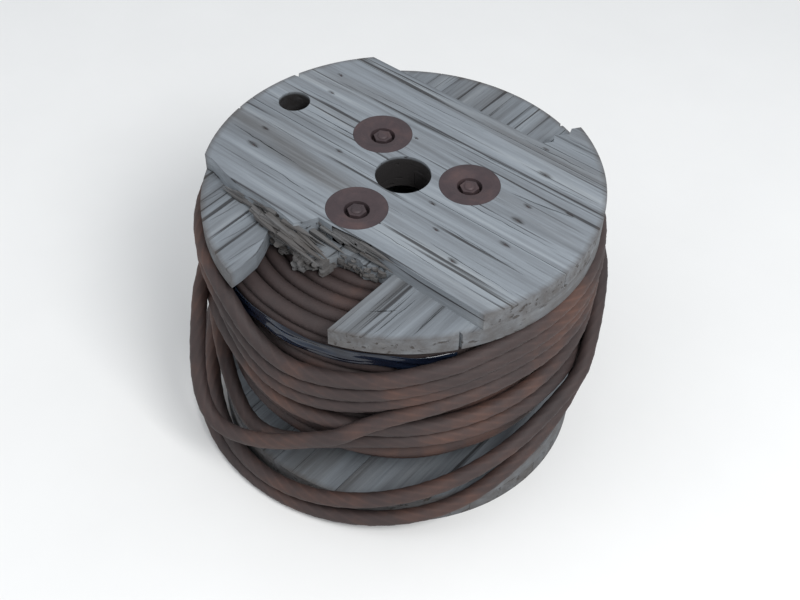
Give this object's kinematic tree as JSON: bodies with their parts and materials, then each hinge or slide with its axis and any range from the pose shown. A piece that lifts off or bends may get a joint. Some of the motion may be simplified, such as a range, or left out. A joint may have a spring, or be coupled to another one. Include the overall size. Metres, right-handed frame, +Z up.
{
  "type": "wooden cable drum",
  "caption": "Weathered wooden drum of crossed boards with a broken flange edge, wound with rusty wire rope whose outer turns have slipped down around it.",
  "frame": {"origin": "on the axis of the arbor bore, on the plane that the lower flange stands on", "axes": "+Z up along the arbor bore, +X along the boards of the flanges' outer layers, away from the rope start hole"},
  "size_m": [0.5222, 0.5257, 0.356],
  "materials": {
    "weathered_wood": "weathered grey, rough sawn",
    "rusty_rope": "matt, evenly rusted",
    "rusty_steel": "matt, rusted",
    "dark_film": "creased, glossy"
  },
  "bodies": {
    "root": {"barrel_stave_01": "weathered_wood", "barrel_stave_02": "weathered_wood", "barrel_stave_03": "weathered_wood", "barrel_stave_04": "weathered_wood", "barrel_stave_05": "weathered_wood", "barrel_stave_06": "weathered_wood", "barrel_stave_07": "weathered_wood", "barrel_stave_08": "weathered_wood", "barrel_stave_09": "weathered_wood", "barrel_stave_10": "weathered_wood", "barrel_stave_11": "weathered_wood", "barrel_stave_12": "weathered_wood", "film_band": "dark_film", "loose_turn_low": "rusty_rope", "loose_turns": "rusty_rope", "lower_inner_board_1": "weathered_wood", "lower_inner_board_2": "weathered_wood", "lower_inner_board_3": "weathered_wood", "lower_inner_board_4": "weathered_wood", "lower_outer_board_1": "weathered_wood", "lower_outer_board_2": "weathered_wood", "lower_outer_board_3": "weathered_wood", "lower_outer_board_4": "weathered_wood", "lower_washer_1": "rusty_steel", "lower_washer_2": "rusty_steel", "lower_washer_3": "rusty_steel", "rope_winding": "rusty_rope", "tie_bolt_1": "rusty_steel", "tie_bolt_2": "rusty_steel", "tie_bolt_3": "rusty_steel", "upper_inner_board_1": "weathered_wood", "upper_inner_board_2": "weathered_wood", "upper_inner_board_3": "weathered_wood", "upper_inner_board_4": "weathered_wood", "upper_outer_board_1": "weathered_wood", "upper_outer_board_2": "weathered_wood", "upper_outer_board_3": "weathered_wood", "upper_outer_strip": "weathered_wood", "upper_washer_1": "rusty_steel", "upper_washer_2": "rusty_steel", "upper_washer_3": "rusty_steel"}
  },
  "joints": []
}
